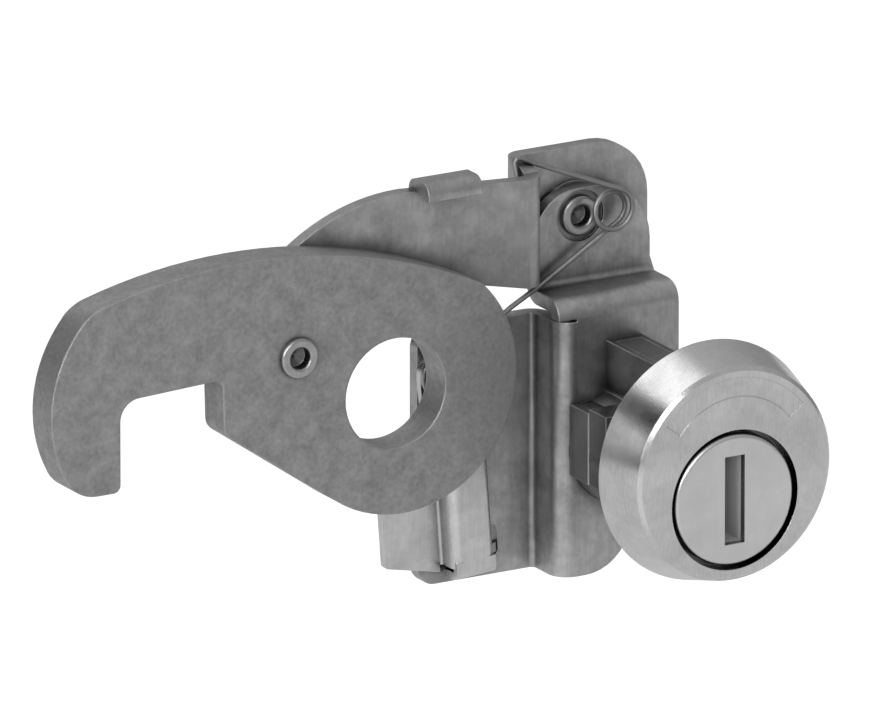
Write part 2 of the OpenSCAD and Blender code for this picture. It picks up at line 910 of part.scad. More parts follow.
// Open clip in the tail's groove.
module plug_clip() {
    color(STEEL)
        plate(e_clip_y + seat_gap, e_clip_t - 2 * seat_gap)
            translate([0, plug_z])
                difference() {
                    circle(tail_d / 2 + 0.7);
                    circle(e_clip_groove_r + seat_gap);
                    translate([0, tail_d / 2])
                        square([2 * e_clip_groove_r - 0.8, tail_d], center = true);
                }
}

// Centre of the lever's nose when the plug has turned by a, seen from the turning plug.
function nose_path(a) =
    let (
        pivot = [pivot_x, pivot_z],
        axis = [0, plug_z],
        nose = pivot + turned([nose_x, plug_z] - pivot, a * lever_travel / plug_turn)
    )
    axis + turned(nose - axis, -a);

// Edge of the cam that keeps its gap to the nose at every angle: the nose's path, set in square to itself.
function cam_edge(a) =
    let (
        d = nose_path(a + 0.5) - nose_path(a - 0.5),
        square_in = [-d[1], d[0]] / norm(d)
    )
    nose_path(a) + square_in * (nose_tip_r + cam_gap);

module cam() {
    steps = 18;
    lead = 6;
    color(STEEL)
        difference() {
            union() {
                rod(hub_r, cam_y, cam_end, [0, plug_z]);
                plate(cam_y, cam_t)
                    polygon(concat(
                        [[0.6, plug_z + hub_r - 0.7]],
                        [for (k = [0 : steps]) cam_edge((plug_turn + lead) * (1 - k / steps) - lead)],
                        [[10.6, plug_z - 2.2], [10.1, plug_z - 3.2], [9.2, plug_z - 3.9], [8.2, plug_z - 4.2]],
                        [[1.2, plug_z - hub_r + 0.6]]
                    ));
            }
            flatted(cam_spigot_d + 2 * seat_gap, cam_spigot_flats + 2 * seat_gap, cam_y - 1, cam_end + 1);
        }
}

module cam_washer() {
    color(BRIGHT)
        difference() {
            rod(screw_head_r + 0.7, cam_end, cam_end + lock_washer_t, [0, plug_z]);
            rod(screw_r + 0.15, cam_end - 1, cam_end + 1, [0, plug_z]);
        }
}

// Screw with a cross recess in its domed head.
module cam_screw() {
    y0 = cam_end + lock_washer_t;
    color(BRIGHT)
        difference() {
            union() {
                rod(screw_r - seat_gap, cam_end - screw_len, y0 + 0.1, [0, plug_z]);
                rod(screw_head_r, y0, y0 + screw_head_t / 2, [0, plug_z]);
                taper(screw_head_r, screw_head_r - 1, y0 + screw_head_t / 2, y0 + screw_head_t, [0, plug_z]);
            }
            for (a = [0, 90])
                translate([0, y0 + screw_head_t, plug_z])
                    rotate([0, a, 0])
                        cube([2.6, 1.4, 0.5], center = true);
        }
}

// Lever and what swings with it

// The front bend, the web and the rear bend, as a section in X and Y.
module web_section() {
    bend([web_x - outer_r, front_y + outer_r], [1, -1]);
    translate([web_x - sheet, front_y + outer_r])
        square([sheet, lever_step - outer_r - bend_r]);
    bend([web_x + bend_r, lever_ear_y - bend_r], [-1, 1]);
}

// Front plate, in X and Z: a crown on the left, a lobe round the hook's rivet, and the foot of the tab.
module front_outline() {
    join = web_x - outer_r;
    intersection() {
        union() {
            translate(crown_at)
                circle(crown_r);
            translate([crown_at[0], 0])
                square([join - crown_at[0], crown_at[1] + crown_r]);
        }
        polygon(rounded([
            [join, front_top, 0],
            [join, web_low, 0],
            [-16.4, web_low + 1.4, 3],
            [-33.2, web_low + 1.2, 3],
            [-34.6, 7.6, 3],
            [-48, 7.6, 0],
            [-48, 30, 0],
            [crown_at[0] - 1, 30, 0],
            [crown_at[0] + 0.4, crown_at[1] + crown_r - 0.02, 0]
        ]));
    }
    tab_foot();
}

// Foot of the tab, flared on its left.
module tab_foot() {
    flare = 1.4;
    low = front_top - 1;
    high = tab_top - tab_t - 0.1;
    translate([tab_left, low])
        square([tab_w, high - low]);
    difference() {
        translate([tab_left - flare, low])
            square([flare + 0.1, high - low]);
        translate([tab_left - flare, high + 0.5])
            circle(flare);
    }
}

// The tab over the front plate, as a section in Y and Z.
module tab_section() {
    inner = 0.1;
    outer = tab_t + inner;
    rear = front_y + sheet;
    tip = rear - tab_reach;
    low = tab_top - outer;
    bend([rear - outer, low], [1, 1], inner, outer);
    translate([tip + outer, tab_top - tab_t])
        square([tab_reach - 2 * outer, tab_t]);
    bend([tip + outer, low], [-1, 1], inner, outer);
    translate([tip, low - 0.5])
        square([tab_t, 0.5]);
    translate([rear - tab_t, low - 1])
        square([tab_t, 1]);
}

// Rear ear and the curved arm down to the nose that runs on the cam, in X and Z.
module rear_outline() {
    start = web_x + bend_r;
    polygon(rounded([
        [start, rear_top, 0],
        [pad_right + 0.35, rear_top, 6],
        [pad_right + 0.35, web_low + 0.4, 6],
        [nose_x - 3, web_low - 6.6, 8],
        [nose_x - 1.8, web_low - 11.6, 4],
        [nose_x + nose_tip_r + 0.6, 0.4, 3],
        [nose_x + nose_tip_r + 0.6, plug_z - 2.6, 1.2],
        [nose_x - 0.2, plug_z - 2.6, 0.8],
        [nose_x - 0.4, plug_z + 1.5, 1.6],
        [nose_x - 5.6, web_low - 10, 3],
        [nose_x - 8.8, web_low - 2.2, 4],
        [start, web_low, 0]
    ]));
    translate([nose_x, plug_z])
        circle(nose_tip_r);
}

module lever() {
    color(ZINC)
        difference() {
            union() {
                plate(front_y, sheet)
                    front_outline();
                difference() {
                    translate([0, 0, web_low])
                        linear_extrude(rear_top - web_low)
                            web_section();
                    web_slope();
                }
                plate(lever_ear_y, sheet)
                    rear_outline();
                translate([tab_left, 0, 0])
                    rotate([90, 0, 90])
                        linear_extrude(tab_w)
                            tab_section();
            }
            rod(rivet_d / 2 + run_gap, lever_ear_y - 1, lever_ear_y + sheet + 1, [pivot_x, pivot_z]);
            rod(rivet_d / 2 + seat_gap, front_y - 1, front_y + sheet + 1, hook_rivet_at);
        }
}

// What slopes the top of the web from the rear ear down to the front plate.
module web_slope() {
    rise = rear_top - front_top;
    run = web_run;
    translate([web_x - 5, front_y - 1, front_top])
        cube([10, outer_r + 1, rise + 1]);
    translate([web_x - 5, front_y + outer_r, front_top])
        rotate([atan2(rise, run), 0, 0])
            cube([10, run + 4, rise + 3]);
}

// Points of an arc, each with no radius of its own, clockwise from one point to another round a centre.
function sweep(centre, from, to, step) =
    let (
        r = norm(from - centre),
        a0 = atan2(from[1] - centre[1], from[0] - centre[0]),
        raw = a0 - atan2(to[1] - centre[1], to[0] - centre[0]),
        turn = raw < 0 ? raw + 360 : raw,
        n = max(2, ceil(turn / step))
    )
    [for (k = [0 : n]) [centre[0] + r * cos(a0 - turn * k / n), centre[1] + r * sin(a0 - turn * k / n), 0]];

// Where a circle inside another one touches it.
function touch(inner_at, outer_at, r) = outer_at + (inner_at - outer_at) / norm(inner_at - outer_at) * r;

// Outline of the hook, in X and Z, clockwise: top curve, round end, underside, notch, tip and left side.
module hook_outline() {
    notch_left = shoulder_x - notch_w;
    on_top = touch(crest_at, top_at, top_r);
    on_side = touch(crest_at, nose_at, nose_r);
    on_tip = touch(tip_at, nose_at, nose_r);
    meet = circles_meet(round_at, round_end_r, top_at, top_r);
    under = round_at - round_end_r * [sin(hook_rise), cos(hook_rise)];
    polygon(rounded(concat(
        sweep(top_at, on_top, meet, 2),
        sweep(round_at, meet + [0.02, -0.03], under, 5),
        [
            [shoulder_x, under[1] + (under[0] - shoulder_x) * tan(hook_rise), 1.6],
            [shoulder_x - 0.15, notch_top + 0.2, 0.9],
            [notch_left, notch_top - 0.3, 2.2],
            [notch_left, tip_low, 0.8]
        ],
        sweep(tip_at, [tip_at[0], tip_low], on_tip, 8),
        sweep(nose_at, on_tip + [0, 0.05], on_side - [0, 0.05], 3),
        sweep(crest_at, on_side, on_top - [0.05, 0], 6)
    )));
}

module hook() {
    color(DULL)
        difference() {
            plate(hook_y, hook_t)
                hook_outline();
            rod(hole_d / 2, hook_y - 1, front_y + 1, hole_at);
            rod(rivet_d / 2 + seat_gap, hook_y - 1, front_y + 1, hook_rivet_at);
        }
}

module hook_rivet() {
    color(BRIGHT)
        rivet(hook_rivet_at, hook_y, front_y + sheet, flange_d / 2);
}

// Spring of the lever: its upper leg hooks over the web, its lower leg over the left plate's top edge.
coil_at = [pivot_x + 2.5, pivot_z + 0.7];
coil_front = base_y - 2.7;
coil_open = 0.5;
upper_angle = 68.6;
lower_angle = -54;
coil_sweep = 360 + upper_angle - lower_angle;

// A point of the coil after s degrees; its first half turn closes in from the upper leg.
function coil_point(s) =
    let (a = upper_angle - s, r = coil_r + coil_open * pow(max(0, 1 - s / 200), 2))
    [coil_at[0] + r * cos(a), coil_front + coil_pitch * s / 360, coil_at[1] + r * sin(a)];

// Height of the web's top at depth y.
function web_top(y) = front_top + (rear_top - front_top) * min(1, (y - front_y - outer_r) / web_run);

function spring_path() =
    let (
        r = wire_d / 2,
        side = web_x - sheet - r - 0.05,
        over_y = base_y - 0.2,
        crest = web_top(over_y) + r + 0.3,
        rest = plate_top + r + 0.02,
        behind = base_y + sheet + r + 0.05,
        n = round(24 * coil_sweep / 360)
    )
    concat(
        [
            [side, over_y - 0.5, crest - 1.9],
            [side, over_y - 0.2, crest - 1.1],
            [side, over_y, crest - 0.4],
            [side + 0.15, over_y, crest - 0.1],
            [side + 0.45, over_y, crest],
            [web_x, over_y - 0.15, crest - 0.1]
        ],
        [for (k = [0 : n]) coil_point(coil_sweep * k / n)],
        [
            [wall_x + 0.1, base_y - 0.8, shelf_z + 0.48],
            [wall_x - 3.4, base_y + 0.35, rest],
            [wall_x - 3.8, base_y + 0.6, rest],
            [wall_x - 4.6, behind - 0.4, rest],
            [wall_x - 4.85, behind - 0.1, rest - 0.05],
            [wall_x - 4.95, behind, rest - 0.3],
            [wall_x - 4.95, behind, rest - 1.5]
        ]
    );

module torsion_spring() {
    color(BRIGHT)
        tube(spring_path(), wire_d / 2, [0, 1, 0]);
}

// Each spring's least gap to itself
echo(torsion_spring_gap = least_gap(spring_path(), wire_d, 6));
echo(pin_spring_gap = least_gap(pin_spring_path(), pin_wire, 4));

cylinder_body();
chamber_strip();
driver_pins();
pin_springs();
bracket();
cylinder_clip();
ear_rivet();
ear_washer();
guide_clip();
guide_rivet();
plug();
key_pin(0);  // key_pin_1
key_pin(1);  // key_pin_2
key_pin(2);  // key_pin_3
key_pin(3);  // key_pin_4
key_pin(4);  // key_pin_5
stop_plate();
plug_clip();
cam();
cam_washer();
cam_screw();
lever();
hook();
hook_rivet();
torsion_spring();
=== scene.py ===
"""Looks of the parcel locker lock: finishes, smooth springs, washer, camera, light and floor."""

import logging
import math
from dataclasses import dataclass
from enum import Enum
from functools import partial
from typing import Callable, Sequence

import bpy
from mathutils import Matrix, Vector


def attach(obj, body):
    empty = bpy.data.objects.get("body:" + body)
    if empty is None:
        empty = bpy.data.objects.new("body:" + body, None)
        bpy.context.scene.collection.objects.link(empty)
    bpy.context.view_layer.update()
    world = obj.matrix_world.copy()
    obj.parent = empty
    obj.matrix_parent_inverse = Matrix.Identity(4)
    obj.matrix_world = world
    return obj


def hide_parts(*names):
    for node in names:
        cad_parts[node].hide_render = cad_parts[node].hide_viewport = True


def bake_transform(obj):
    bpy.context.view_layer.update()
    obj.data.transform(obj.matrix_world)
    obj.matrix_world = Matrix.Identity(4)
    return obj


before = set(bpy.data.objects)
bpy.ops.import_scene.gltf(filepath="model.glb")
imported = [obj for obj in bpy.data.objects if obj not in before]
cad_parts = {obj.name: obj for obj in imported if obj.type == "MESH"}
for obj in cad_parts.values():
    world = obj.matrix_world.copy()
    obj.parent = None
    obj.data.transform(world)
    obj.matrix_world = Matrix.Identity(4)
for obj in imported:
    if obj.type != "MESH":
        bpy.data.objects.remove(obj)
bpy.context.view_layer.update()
LOG = logging.getLogger("lock")

MM = 0.001
STEPS_PER_TURN = 24
WHITE = (1.0, 1.0, 1.0, 1.0)

Point = tuple[float, float, float]
Colour = tuple[float, float, float, float]
Socket = bpy.types.NodeSocket
Value = Socket | float | Sequence[float]


def grey(level: float) -> Colour:
    """Returns an opaque grey, linear."""
    return (level, level, level, 1.0)


class Body(Enum):
    """The CAD bodies that pieces ride on."""

    ROOT = "root"
    PLUG = "plug"
    LEVER = "lever"


class Grain(Enum):
    """How a metal's fine marks run."""

    TUMBLED = "tumbled"
    ROLLED = "rolled"
    TURNED = "turned"


GRAIN_STRETCH: dict[Grain, Point] = {
    Grain.TUMBLED: (1.0, 1.0, 1.0),
    Grain.ROLLED: (1.0, 1.0, 0.12),
    Grain.TURNED: (1.0, 0.2, 1.0),
}


@dataclass(frozen=True)
class Finish:
    """One metal finish.

    Args:
        name: Name of the material.
        tone: Grey of the clean metal, linear.
        dark: Grey of its darker blotches, linear.
        rough: Roughness of the clean metal.
        rough_span: How far the roughness wanders.
        grain: How the fine marks run.
        blotch_mm: Size of the blotches.
        grain_mm: Size of the fine marks.
        bump: Depth of the fine marks, in millimetres.
        edge_mm: Radius of the softened edges.
        speck: How far the fine marks lighten or darken the metal, as a share of the tone.
        crevice: How dark the painted shade makes the metal in its crevices, as a share of the tone.
        edge_highlight: Share of the painted highlight on its edges.
        tint: Small shift of red, green and blue.
        behind_mm: Depth behind which painted shade darkens the metal, or None.
        behind_tone: Grey of the metal in that painted shade, linear.
        slot_half_mm: Half the width of a slot with matt walls, or None.
        slot_from_mm: Depth from which the slot's walls are matt.
        slot_tone: Grey of the slot's walls, linear.
    """

    name: str
    tone: float
    dark: float
    rough: float
    rough_span: float = 0.08
    grain: Grain = Grain.ROLLED
    blotch_mm: float = 5.0
    grain_mm: float = 0.35
    bump: float = 0.01
    edge_mm: float = 0.12
    speck: float = 0.06
    crevice: float = 0.2
    edge_highlight: float = 0.45
    tint: Point = (1.0, 1.0, 1.0)
    behind_mm: float | None = None
    behind_tone: float = 0.2
    slot_half_mm: float | None = None
    slot_from_mm: float = 0.0
    slot_tone: float = 0.5

    def colour(self, level: float) -> Colour:
        """Returns a grey with the finish's tint."""
        red, green, blue = (level * share for share in self.tint)
        return (red, green, blue, 1.0)


ZINC = Finish(
    "zinc_sheet",
    tone=0.58,
    dark=0.31,
    rough=0.38,
    blotch_mm=4.5,
    bump=0.014,
    edge_mm=0.18,
    speck=0.08,
)
LEVER_ZINC = Finish(
    "lever_sheet",
    tone=0.57,
    dark=0.35,
    rough=0.40,
    blotch_mm=3.5,
    bump=0.016,
    edge_mm=0.16,
    speck=0.07,
)
DULL = Finish(
    "dull_zinc",
    tone=0.46,
    dark=0.33,
    rough=0.56,
    rough_span=0.12,
    grain=Grain.TUMBLED,
    blotch_mm=2.0,
    grain_mm=0.45,
    bump=0.03,
    edge_mm=0.3,
    speck=0.075,
)
HEAD = Finish(
    "plated_head",
    tone=0.77,
    dark=0.60,
    rough=0.19,
    rough_span=0.1,
    blotch_mm=6.0,
    grain_mm=0.14,
    bump=0.015,
    edge_mm=0.1,
    speck=0.075,
    # A strong painted highlight on the head's edges.
    edge_highlight=0.9,
    # Painted shade on the shank behind the head.
    behind_mm=0.1,
    behind_tone=0.34,
)
DISC = Finish(
    "plug_disc",
    tone=0.81,
    dark=0.70,
    rough=0.30,
    rough_span=0.06,
    grain=Grain.TURNED,
    blotch_mm=6.0,
    grain_mm=0.1,
    bump=0.008,
    edge_mm=0.1,
    slot_half_mm=1.25,
    slot_from_mm=-5.2,
)
BRASS = Finish(
    "turned_brass",
    tone=0.62,
    dark=0.5,
    rough=0.3,
    grain=Grain.TURNED,
    grain_mm=0.08,
    edge_mm=0.04,
    tint=(1.12, 0.92, 0.5),
)
BRIGHT = Finish("bright_steel", 0.76, 0.60, 0.27, blotch_mm=3.0, bump=0.006, edge_mm=0.08)
RIVET = Finish("rivet_steel", 0.52, 0.38, 0.30, blotch_mm=1.5, bump=0.006, edge_mm=0.12)
WIRE = Finish("spring_wire", 0.38, 0.28, 0.48, blotch_mm=1.6, bump=0.004, edge_mm=0.03)
STEEL = Finish("dark_steel", 0.30, 0.22, 0.36, blotch_mm=3.0, bump=0.01, edge_mm=0.08)

CAD_FINISHES: dict[str, Finish] = {
    "bracket": ZINC,
    "lever": LEVER_ZINC,
    "hook": DULL,
    "cylinder_body": HEAD,
    "plug": DISC,
    "guide_clip": BRIGHT,
    "guide_rivet": RIVET,
    "ear_rivet": RIVET,
    "ear_washer": RIVET,
    "hook_rivet": RIVET,
    "cam_screw": BRIGHT,
    "cam": ZINC,
    "stop_plate": STEEL,
    "plug_clip": STEEL,
    "cylinder_clip": STEEL,
    "chamber_strip": STEEL,
    "driver_pins": BRASS,
    **{f"key_pin_{i}": BRASS for i in range(1, 6)},
}


class NodeTree:
    """Short calls for adding and joining shader or geometry nodes.

    Args:
        tree: The tree to add to.
    """

    def __init__(self, tree: bpy.types.NodeTree) -> None:
        self.tree = tree

    @classmethod
    def emptied(cls, owner: bpy.types.Material | bpy.types.World) -> "NodeTree":
        """Returns the node tree of a material or a world, with no nodes in it."""
        owner.use_nodes = True
        owner.node_tree.nodes.clear()
        return cls(owner.node_tree)

    def feed(self, target: Socket, value: Value) -> None:
        """Joins a socket to an input, or sets the input to a plain value."""
        if isinstance(value, bpy.types.NodeSocket):
            self.tree.links.new(value, target)
        else:
            target.default_value = value

    def add(self, kind: str, **values: object) -> bpy.types.Node:
        """Adds a node and sets its properties, then its inputs.

        Args:
            kind: Type name of the node.
            **values: Properties of the node, or in_NAME for the input called NAME. An input
                takes a plain value, or the socket to join to it.

        Returns:
            The new node.
        """
        node = self.tree.nodes.new(kind)
        for key, value in values.items():
            if not key.startswith("in_"):
                setattr(node, key, value)
        for key, value in values.items():
            if key.startswith("in_"):
                self.feed(node.inputs[key[3:].replace("_", " ")], value)
        return node

    def pattern(self, group: bpy.types.NodeTree, size_mm: float) -> Socket:
        """Adds a pattern's group, for marks of a size in millimetres, and returns its value."""
        return self.add("ShaderNodeGroup", node_tree=group, in_Scale=1 / (size_mm * MM)).outputs[0]

    def place(self) -> Socket:
        """Returns the place on the object."""
        return self.add("ShaderNodeTexCoord").outputs["Object"]

    def along(self, axis: str, place: Socket | None = None) -> Socket:
        """Returns one coordinate of a place, which is the place on the object if none is given."""
        source = self.place() if place is None else place
        return self.add("ShaderNodeSeparateXYZ", in_Vector=source).outputs[axis]

    def math(self, operation: str, *values: Value) -> Socket:
        """Returns a math node's result, with its inputs in their order."""
        node = self.add("ShaderNodeMath", operation=operation)
        for target, value in zip(node.inputs, values):
            self.feed(target, value)
        return node.outputs[0]

    def dot(self, first: Value, second: Value) -> Socket:
        """Returns the dot product of two vectors."""
        node = self.add("ShaderNodeVectorMath", operation="DOT_PRODUCT")
        self.feed(node.inputs[0], first)
        self.feed(node.inputs[1], second)
        return node.outputs["Value"]

    def scaled(self, vector: Value, factor: Value) -> Socket:
        """Returns a vector or a colour times a factor."""
        node = self.add("ShaderNodeVectorMath", operation="SCALE", in_Scale=factor)
        self.feed(node.inputs[0], vector)
        return node.outputs["Vector"]

    def ranged(
        self,
        value: Socket,
        span: tuple[float, float],
        result: tuple[float, float] = (0.0, 1.0),
        smooth: bool = False,
    ) -> Socket:
        """Maps a value from one span to another and holds it inside.

        Args:
            value: The value to map.
            span: Where the value starts and ends to count.
            result: What it becomes there.
            smooth: Whether it eases in and out.

        Returns:
            The mapped value.
        """
        node = self.add(
            "ShaderNodeMapRange",
            interpolation_type="SMOOTHSTEP" if smooth else "LINEAR",
            in_Value=value,
            in_From_Min=span[0],
            in_From_Max=span[1],
            in_To_Min=result[0],
            in_To_Max=result[1],
        )
        return node.outputs[0]

    def mixed(self, share: Value, first: Value, second: Value, blend: str = "MIX") -> Socket:
        """Returns the first colour mixed with a share of the second."""
        node = self.add(
            "ShaderNodeMix",
            data_type="RGBA",
            blend_type=blend,
            in_Factor=share,
            in_A=first,
            in_B=second,
        )
        return node.outputs["Result"]

    def split_rays(self, kind: str, usual: Socket, special: Socket) -> Socket:
        """Returns the usual shader, with a special one for one kind of ray."""
        rays = self.add("ShaderNodeLightPath")
        node = self.add("ShaderNodeMixShader", in_Fac=rays.outputs[kind])
        self.feed(node.inputs[1], usual)
        self.feed(node.inputs[2], special)
        return node.outputs[0]


class MetalGroups:
    """Node groups that the metal finishes share: blotches and fine marks.

    Attributes:
        FINER: How much finer the fine blotches are than the large ones.
        FINE_SHARE: How much the fine blotches add to the large ones.
        BLOTCH_SPAN: Sums of both at which a blotch starts and is full.
        PIT_SHARE: How much pits add to a tumbled metal's marks.
        PIT_LEVEL: What is taken off, so that these marks keep the height of the other grains'.
    """

    FINER = 4.3
    FINE_SHARE = 0.45
    BLOTCH_SPAN = (0.5, 0.98)
    PIT_SHARE = 0.6
    PIT_LEVEL = 0.25

    def __init__(self) -> None:
        self.blotches = self._group("metal_blotches", "Mask", self._blotches)
        self.marks = {
            grain: self._group(f"metal_{grain.value}", "Height", partial(self._marks, grain))
            for grain in Grain
        }

    @staticmethod
    def _group(
        name: str, result: str, fill: Callable[[NodeTree, Socket], Socket]
    ) -> bpy.types.NodeTree:
        """Makes a group that takes a scale and gives one value.

        Args:
            name: Name of the group.
            result: Name of its value.
            fill: Adds the nodes between the scale and the value.

        Returns:
            The group.
        """
        group = bpy.data.node_groups.new(name, "ShaderNodeTree")
        for item, in_out in (("Scale", "INPUT"), (result, "OUTPUT")):
            group.interface.new_socket(item, in_out=in_out, socket_type="NodeSocketFloat")
        net = NodeTree(group)
        scale = net.add("NodeGroupInput").outputs["Scale"]
        value = fill(net, scale)
        net.feed(net.add("NodeGroupOutput").inputs[result], value)
        return group

    def _blotches(self, net: NodeTree, scale: Socket) -> Socket:
        """Returns a mask, 0 on clean metal and 1 in a blotch."""
        place = net.place()
        large = net.add(
            "ShaderNodeTexNoise",
            in_Vector=place,
            in_Scale=scale,
            in_Detail=4.0,
            in_Roughness=0.62,
            in_Distortion=0.35,
        )
        fine = net.add(
            "ShaderNodeTexNoise",
            in_Vector=place,
            in_Scale=net.math("MULTIPLY", scale, self.FINER),
            in_Detail=5.0,
            in_Roughness=0.7,
        )
        both = net.math("MULTIPLY_ADD", fine.outputs["Fac"], self.FINE_SHARE, large.outputs["Fac"])
        return net.ranged(both, self.BLOTCH_SPAN)

    def _marks(self, grain: Grain, net: NodeTree, scale: Socket) -> Socket:
        """Returns the height of the grain's fine marks."""
        stretched = net.add(
            "ShaderNodeMapping",
            vector_type="POINT",
            in_Vector=net.place(),
            in_Scale=GRAIN_STRETCH[grain],
        ).outputs[0]
        noise = net.add(
            "ShaderNodeTexNoise",
            in_Vector=stretched,
            in_Scale=scale,
            in_Detail=3.0,
            in_Roughness=0.6,
        )
        if grain is not Grain.TUMBLED:
            return noise.outputs["Fac"]
        pits = net.add(
            "ShaderNodeTexVoronoi",
            feature="SMOOTH_F1",
            in_Vector=stretched,
            in_Scale=scale,
            in_Smoothness=0.8,
        )
        both = net.math(
            "MULTIPLY_ADD", pits.outputs["Distance"], self.PIT_SHARE, noise.outputs["Fac"]
        )
        return net.math("SUBTRACT", both, self.PIT_LEVEL)


@dataclass(frozen=True)
class WearAndPaintedLight:
    """What the marks, the painted shade and the painted highlights of all finishes share.

    Args:
        speck_span: Heights of the fine marks where the metal is darkest and lightest.
        crevice_mm: How near other metal shades a crevice.
        crevice_span: Openness at which the painted shade in a crevice is darkest, and at which it
            ends.
        edge_highlight_mm: Width of the painted highlight along the edges.
        edge_highlight_tone: Grey of the painted highlight there, linear.
        edge_highlight_span: Cosines of the edge's turn where the painted highlight starts and is
            full.
        shade_fade_mm: Half the depth over which the painted shade behind fades in.
        relief: Strength of the fine marks' relief.
        crevice_samples: Samples of the crevices.
        edge_samples: Samples of the softened and the rubbed edges.
    """

    speck_span: tuple[float, float] = (0.3, 0.7)
    crevice_mm: float = 3.0
    crevice_span: tuple[float, float] = (0.3, 0.88)
    edge_highlight_mm: float = 0.25
    edge_highlight_tone: float = 0.75
    edge_highlight_span: tuple[float, float] = (0.985, 0.85)
    shade_fade_mm: float = 0.05
    relief: float = 0.5
    crevice_samples: int = 6
    edge_samples: int = 4


class Metals:
    """Makes one material for each finish, once.

    Args:
        wear_and_light: What the marks, the painted shade and the painted highlights of all finishes
            share.
    """

    def __init__(self, wear_and_light: WearAndPaintedLight = WearAndPaintedLight()) -> None:
        self.wear_and_light = wear_and_light
        self.groups = MetalGroups()
        self.made: dict[str, bpy.types.Material] = {}

    def get(self, finish: Finish) -> bpy.types.Material:
        """Returns the material of a finish.

        Args:
            finish: The finish to make.

        Returns:
            The material, made on first use.
        """
        if finish.name not in self.made:
            self.made[finish.name] = self._make(finish)
        return self.made[finish.name]

    def _make(self, finish: Finish) -> bpy.types.Material:
        """Makes the material: its tone, specks, painted shade and painted highlights, its roughness
        and its relief.
        """
        material = bpy.data.materials.new(finish.name)
        net = NodeTree.emptied(material)
        blotches = net.pattern(self.groups.blotches, finish.blotch_mm)
        marks = net.pattern(self.groups.marks[finish.grain], finish.grain_mm)

        tone = net.mixed(blotches, finish.colour(finish.tone), finish.colour(finish.dark))
        if finish.behind_mm is not None:
            tone = self._shade_behind(net, finish, tone)
        tone = self._specks_and_shade(net, finish, tone, marks)
        tone = self._edge_highlight(net, finish, tone)
        metallic: Value = 1.0
        if finish.slot_half_mm is not None:
            metallic = self._matt_slot(net, finish)
            tone = net.mixed(metallic, grey(finish.slot_tone), tone)

        polished = finish.rough - finish.rough_span / 2
        rough = net.ranged(blotches, (0.0, 1.0), (polished, finish.rough + finish.rough_span))
        bump = net.add(
            "ShaderNodeBump",
            in_Strength=self.wear_and_light.relief,
            in_Distance=finish.bump * MM,
            in_Height=marks,
            in_Normal=self._rounded(net, finish.edge_mm),
        )
        shader = net.add(
            "ShaderNodeBsdfPrincipled",
            in_Base_Color=tone,
            in_Metallic=metallic,
            in_Roughness=rough,
            in_Normal=bump.outputs[0],
        )
        net.add("ShaderNodeOutputMaterial", in_Surface=shader.outputs[0])
        return material

    def _rounded(self, net: NodeTree, radius_mm: float) -> Socket:
        """Returns the surface's normal as if its edges were round."""
        edge = net.add(
            "ShaderNodeBevel", samples=self.wear_and_light.edge_samples, in_Radius=radius_mm * MM
        )
        return edge.outputs[0]

    def _shade_behind(self, net: NodeTree, finish: Finish, tone: Socket) -> Socket:
        """Returns the tone, with painted shade behind the finish's depth."""
        soft = self.wear_and_light.shade_fade_mm
        span = ((finish.behind_mm - soft) * MM, (finish.behind_mm + soft) * MM)
        # Everything behind that depth on the object is darkened: painted shade on the shank.
        behind = net.ranged(net.along("Y"), span)
        return net.mixed(behind, tone, grey(finish.behind_tone / finish.tone), blend="MULTIPLY")

    def _specks_and_shade(self, net: NodeTree, finish: Finish, tone: Socket, marks: Socket) -> Socket:
        """Returns the tone with small specks, and with painted shade in the crevices near other
        metal.
        """
        wear_and_light = self.wear_and_light
        specks = net.ranged(marks, wear_and_light.speck_span, (1 - finish.speck, 1 + finish.speck))
        # Ambient occlusion darkens the colour near other metal: painted shade in the crevices.
        crevice = net.add(
            "ShaderNodeAmbientOcclusion",
            samples=wear_and_light.crevice_samples,
            in_Distance=wear_and_light.crevice_mm * MM,
        )
        painted_shade = net.ranged(crevice.outputs["AO"], wear_and_light.crevice_span, (finish.crevice, 1.0))
        return net.scaled(tone, net.math("MULTIPLY", specks, painted_shade))

    def _edge_highlight(self, net: NodeTree, finish: Finish, tone: Socket) -> Socket:
        """Returns the tone, with a painted highlight where an edge turns the surface."""
        wear_and_light = self.wear_and_light
        # Where the rounded normal turns from the flat one, the colour is brightened: a painted
        # highlight on every edge.
        face = net.add("ShaderNodeNewGeometry").outputs["Normal"]
        turned = net.dot(self._rounded(net, wear_and_light.edge_highlight_mm), face)
        share = net.ranged(turned, wear_and_light.edge_highlight_span, (0.0, finish.edge_highlight))
        return net.mixed(share, tone, finish.colour(wear_and_light.edge_highlight_tone))

    @staticmethod
    def _matt_slot(net: NodeTree, finish: Finish) -> Socket:
        """Returns how metallic the surface is: 0 on the matt walls inside the slot, 1 elsewhere."""
        place = net.place()
        aside = net.math("ABSOLUTE", net.along("X", place))
        within = net.math("LESS_THAN", aside, finish.slot_half_mm * MM)
        deep = net.math("GREATER_THAN", net.along("Y", place), finish.slot_from_mm * MM)
        return net.math("SUBTRACT", 1.0, net.math("MULTIPLY", within, deep))


def dress_cad(metals: Metals) -> None:
    """Gives every CAD node its finish.

    Args:
        metals: Where the materials come from.
    """
    for name, finish in CAD_FINISHES.items():
        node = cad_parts[name]
        material = metals.get(finish)
        for slot in node.material_slots:
            slot.material = material
        if not node.material_slots:
            node.data.materials.append(material)


def mesh_object(
    name: str, points: Sequence[Vector], faces: Sequence[Sequence[int]]
) -> bpy.types.Object:
    """Makes a smooth mesh object at the origin from points in metres."""
    mesh = bpy.data.meshes.new(name)
    mesh.from_pydata([tuple(p) for p in points], [], [list(f) for f in faces])
    mesh.validate()
    mesh.shade_smooth()
    piece = bpy.data.objects.new(name, mesh)
    bpy.context.scene.collection.objects.link(piece)
    return piece


